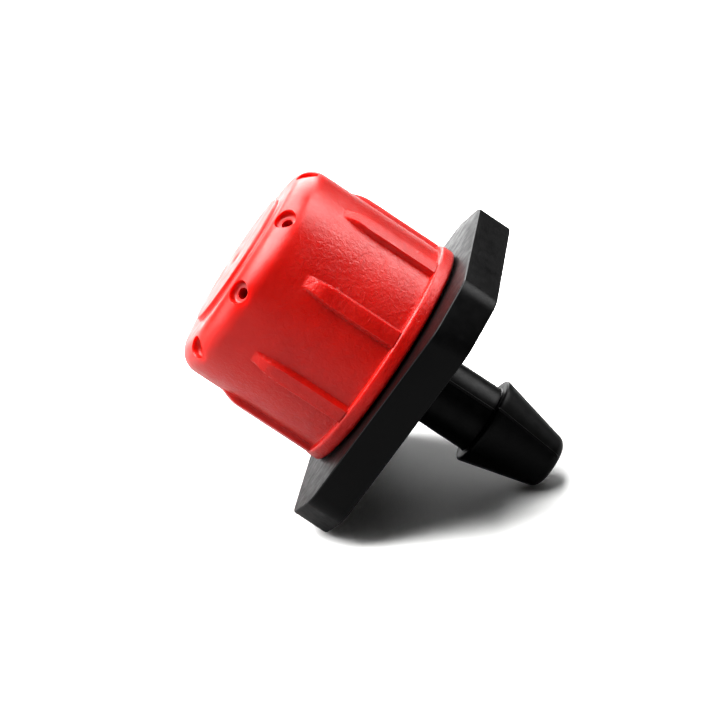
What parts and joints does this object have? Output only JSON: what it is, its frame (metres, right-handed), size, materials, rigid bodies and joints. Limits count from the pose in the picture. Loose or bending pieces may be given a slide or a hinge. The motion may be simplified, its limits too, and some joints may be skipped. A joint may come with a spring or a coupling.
{
  "type": "drip emitter",
  "caption": "Adjustable drip emitter: a ribbed red screw cap with outlets round its shoulder, on a black flanged base with a barbed inlet.",
  "frame": {"origin": "on the emitter's axis at the underside of the flange, where the inlet barb starts", "axes": "+Z along the post towards the cap, -Z along the barb; the flange's cut corners face +X, -X, +Y and -Y"},
  "size_m": [0.0222, 0.0222, 0.0232],
  "materials": {
    "base_plastic": "satin black moulded plastic",
    "seal_rubber": "smooth black rubber",
    "cap_plastic": "slightly translucent red moulded plastic with a fine orange-peel surface"
  },
  "bodies": {
    "base": {"emitter_base": "base_plastic"},
    "seal_ring": {"seal_ring": "seal_rubber"},
    "cap": {"adjuster_cap": "cap_plastic"}
  },
  "joints": [
    {"name": "cap_turn", "type": "hinge", "parent": "base", "child": "seal_ring", "pos_m": [0, 0, 0], "axis": [0, 0, 1], "range_deg": [0, 450]},
    {"name": "cap_lift", "type": "slide", "parent": "seal_ring", "child": "cap", "axis": [0, 0, 1], "range_m": [0, 0.00187]}
  ],
  "couplings": [
    {"joint": "cap_turn", "follows": "cap_lift", "rad_per_m": 4188.8}
  ]
}
